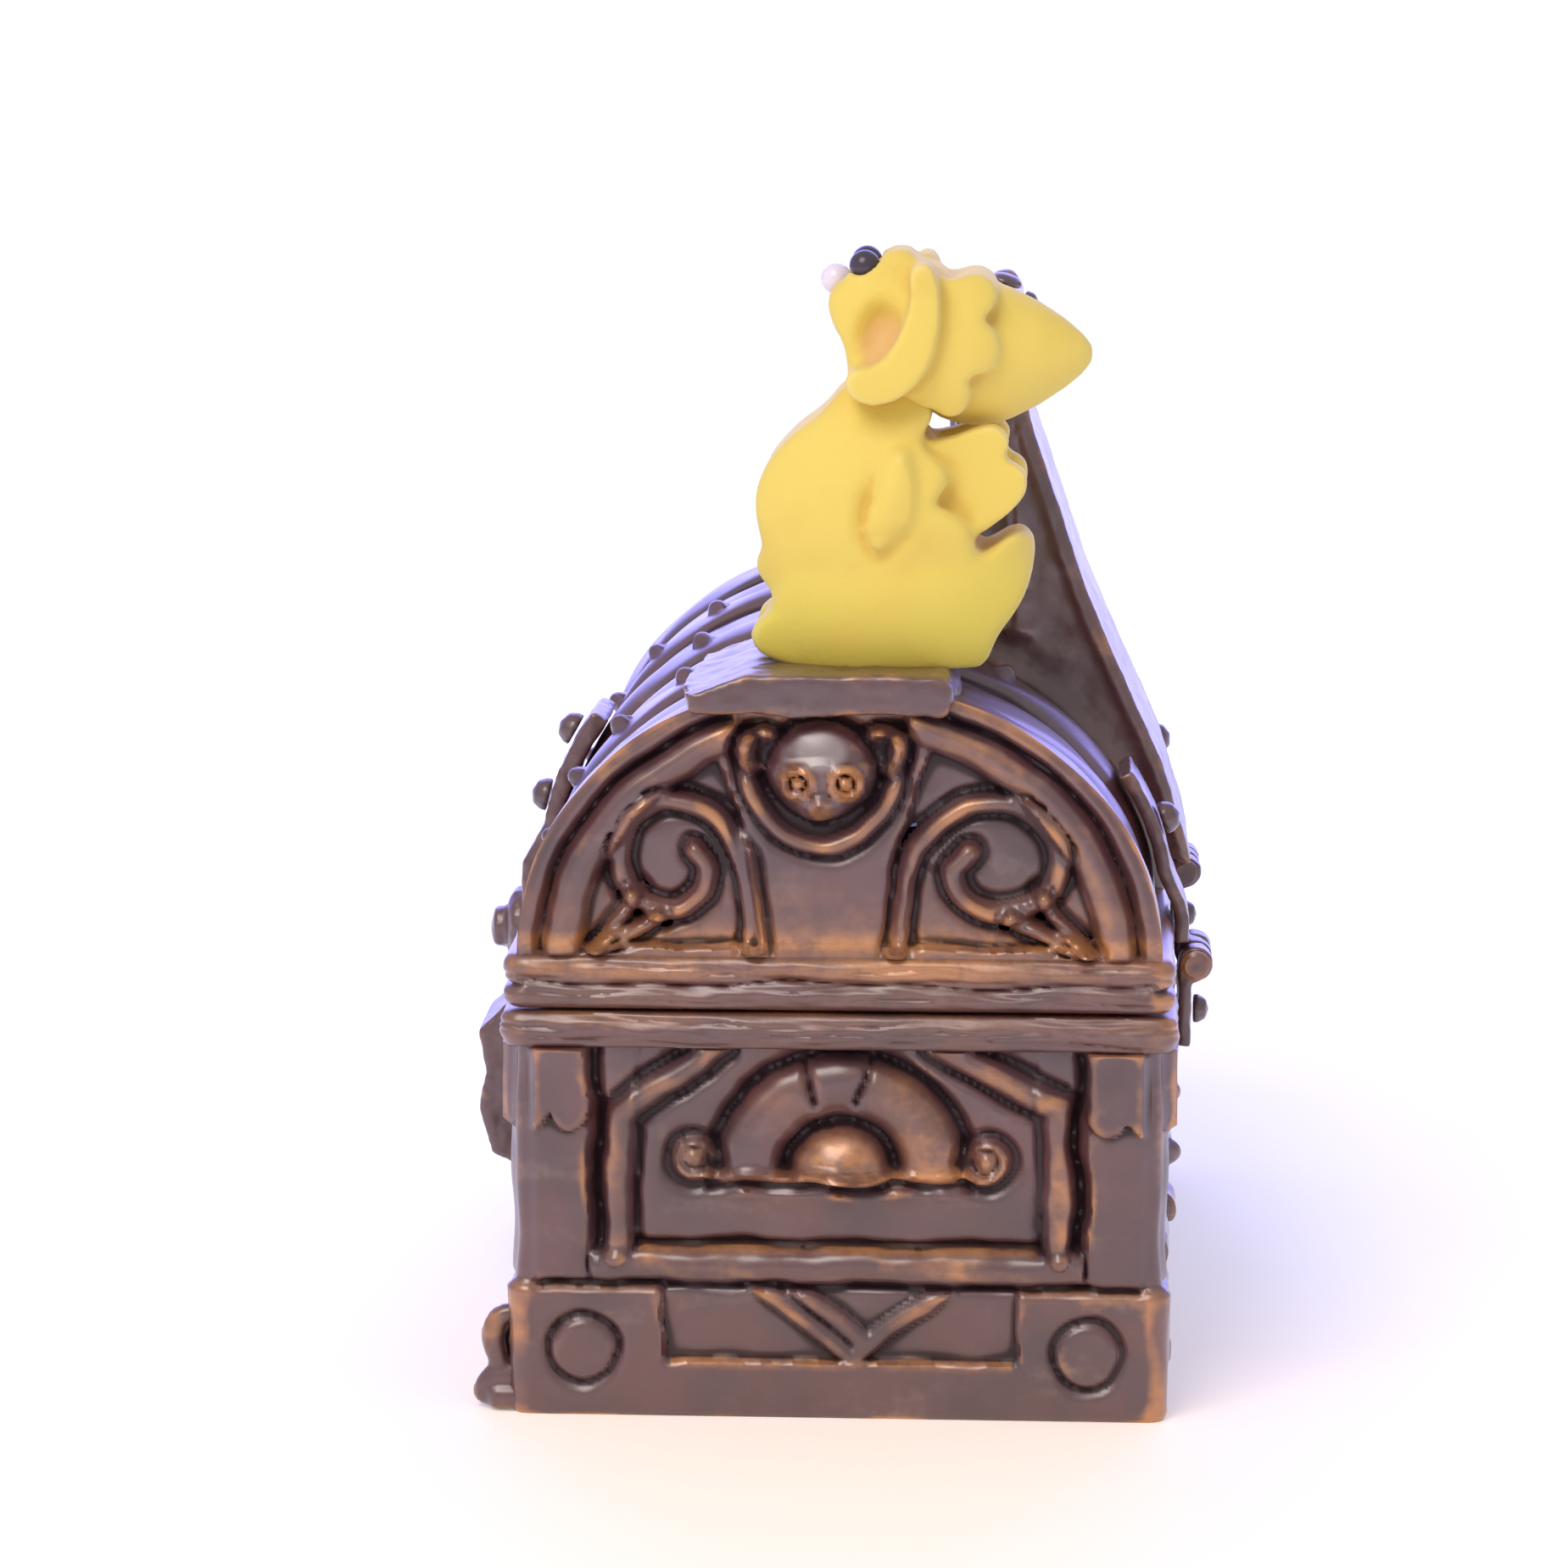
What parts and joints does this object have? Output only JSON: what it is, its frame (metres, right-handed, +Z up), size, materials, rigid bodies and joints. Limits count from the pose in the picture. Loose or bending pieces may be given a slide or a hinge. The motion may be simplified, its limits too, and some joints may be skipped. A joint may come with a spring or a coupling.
{
  "type": "bubbling chest aquarium ornament",
  "caption": "Domed treasure chest aquarium ornament with an air-lifted hinged lid, seated creature figure and tall back panel, air stone and airline inlet.",
  "frame": {"origin": "centre of the underside, on the surface the chest stands on", "axes": "+Z up; +X from the lock towards the hinges at the back; +Y along the chest from the end with the creature towards the end with the airline inlet"},
  "size_m": [0.0773, 0.1143, 0.1139],
  "materials": {
    "bronze_brown": "painted, dry-brushed bronze over brown",
    "creature_yellow": "matte painted, hand-shaded",
    "bead_black": "high gloss",
    "bead_lilac": "gloss",
    "clear_plastic": "clear moulded",
    "grey_plastic": "moulded satin",
    "air_hose": "soft translucent tube",
    "stone_blue": "porous sintered",
    "ballast_iron": "blackened",
    "treasure_gold": "metallic gold paint",
    "steel": "bright"
  },
  "bodies": {
    "chest": {"box_shell": "bronze_brown", "base_plate": "bronze_brown", "base_screw_1": "steel", "base_screw_2": "steel", "base_screw_3": "steel", "base_screw_4": "steel", "ballast_bar_front": "ballast_iron", "ballast_bar_back": "ballast_iron", "stone_cradle": "grey_plastic", "air_stone": "stone_blue", "air_inlet_barb": "grey_plastic", "inlet_nut": "grey_plastic", "air_hose": "air_hose", "treasure_deck": "bronze_brown", "coin_heap_near": "treasure_gold", "coin_heap_far": "treasure_gold", "lock_case": "bronze_brown", "hinge_leaf_lower_1": "bronze_brown", "hinge_leaf_lower_2": "bronze_brown", "hinge_pin_1": "steel", "hinge_pin_2": "steel", "hinge_rivet_lower_1": "bronze_brown", "hinge_rivet_lower_2": "bronze_brown"},
    "lid": {"lid_shell": "bronze_brown", "figure_screw_1": "steel", "figure_screw_2": "steel", "panel_screw_1": "steel", "panel_screw_2": "steel", "saddle_plate": "bronze_brown", "back_panel": "bronze_brown", "panel_rivet_1": "bronze_brown", "panel_rivet_2": "bronze_brown", "panel_finial": "bronze_brown", "bubble_cup": "clear_plastic", "lid_trim_weight": "steel", "hasp_strap": "bronze_brown", "hasp_rivet_1": "bronze_brown", "hasp_rivet_2": "bronze_brown", "hinge_leaf_upper_1": "bronze_brown", "hinge_leaf_upper_2": "bronze_brown", "hinge_rivet_upper_1": "bronze_brown", "hinge_rivet_upper_2": "bronze_brown", "figure_body": "creature_yellow", "figure_head": "creature_yellow", "eye_bead_near": "bead_black", "eye_bead_far": "bead_black", "nose_bead": "bead_lilac"}
  },
  "joints": [
    {"name": "lid_hinge", "type": "hinge", "parent": "chest", "child": "lid", "pos_m": [0.0352, 0, 0.0412], "axis": [0, 1, 0], "range_deg": [0, 40]}
  ]
}
